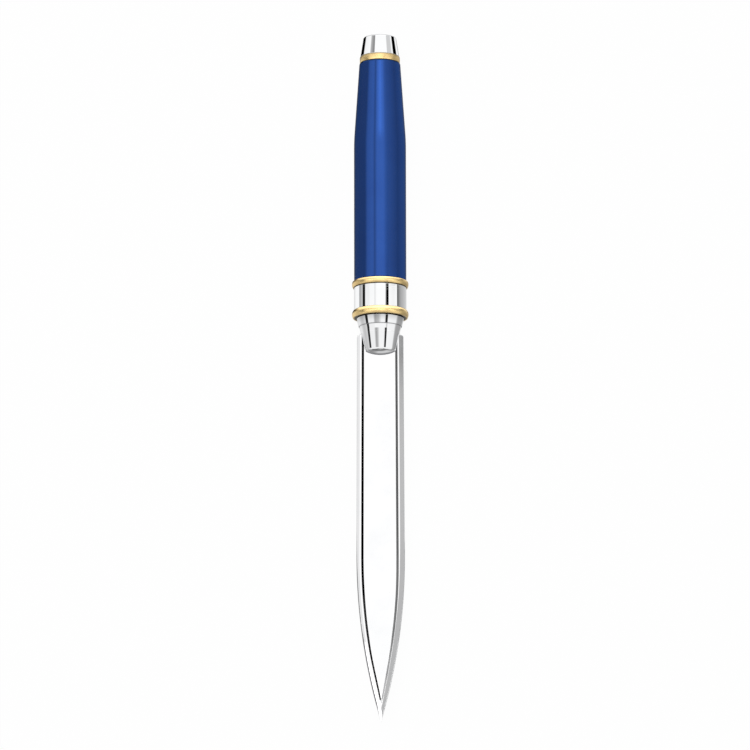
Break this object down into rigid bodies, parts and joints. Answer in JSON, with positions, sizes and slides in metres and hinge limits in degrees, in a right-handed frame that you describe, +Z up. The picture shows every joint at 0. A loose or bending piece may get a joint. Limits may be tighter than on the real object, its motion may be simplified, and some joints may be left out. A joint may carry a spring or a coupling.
{
  "type": "letter opener",
  "caption": "Letter opener with a tapered blue lacquered pen-style handle, gold trim rings and a bright double-edged blade held in a slotted nose.",
  "frame": {"origin": "on the surface that it lies on, under the middle of its length, on the vertical plane through its axis", "axes": "+Y along the axis towards the end cap, with the point of the blade at -Y; +Z up, square to the faces of the blade; +X across the blade"},
  "size_m": [0.0142, 0.175, 0.0142],
  "materials": {
    "blade_steel": "mirror polished steel",
    "pin_steel": "plain steel",
    "bright_chrome": "bright chrome plate on turned brass",
    "gold_trim": "polished gold plate",
    "inner_brass": "machined",
    "blue_lacquer": "aluminium tube with a glossy blue metallic coat"
  },
  "bodies": {
    "root": {"blade": "blade_steel", "tang_pin": "pin_steel", "nose_cone": "bright_chrome", "lower_trim_ring": "gold_trim", "centre_band": "bright_chrome", "middle_trim_ring": "gold_trim", "coupling": "inner_brass", "barrel": "blue_lacquer", "upper_bushing": "inner_brass", "upper_trim_ring": "gold_trim", "end_cap": "bright_chrome"}
  },
  "joints": []
}
